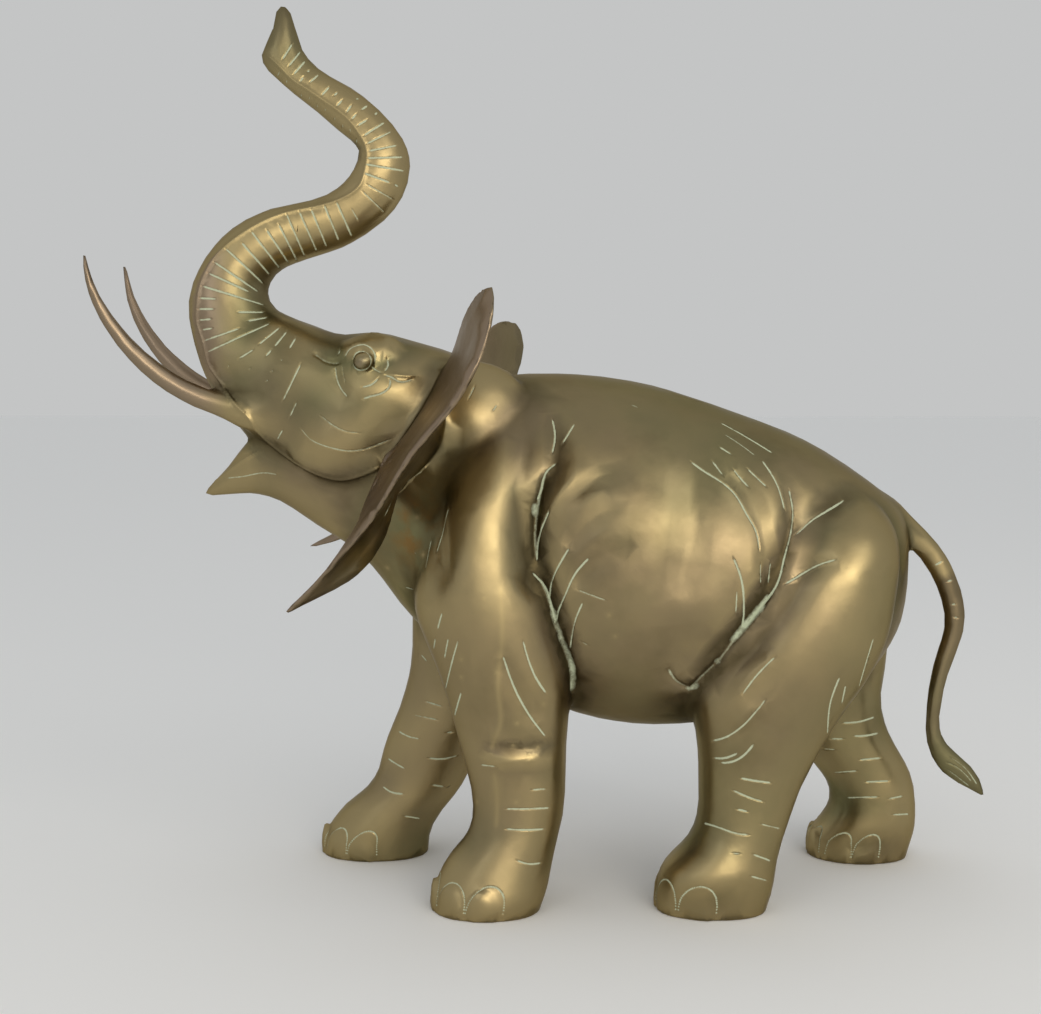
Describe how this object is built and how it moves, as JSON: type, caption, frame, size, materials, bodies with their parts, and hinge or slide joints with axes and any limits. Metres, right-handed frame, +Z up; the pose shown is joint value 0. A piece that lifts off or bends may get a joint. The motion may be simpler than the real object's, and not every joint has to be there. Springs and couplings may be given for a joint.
{
  "type": "elephant figurine",
  "caption": "Cast brass elephant figurine standing with its trunk raised in an S curve, ears spread and tusks swept upwards.",
  "frame": {"origin": "on the surface it stands on, under the centre of the bounding box", "axes": "+Z up; the elephant looks along -X and its left flank faces -Y"},
  "size_m": [0.3677, 0.2268, 0.362],
  "materials": {
    "brass": "aged satin cast brass, chased lines with pale residue"
  },
  "bodies": {
    "root": {"elephant": "brass"}
  },
  "joints": []
}
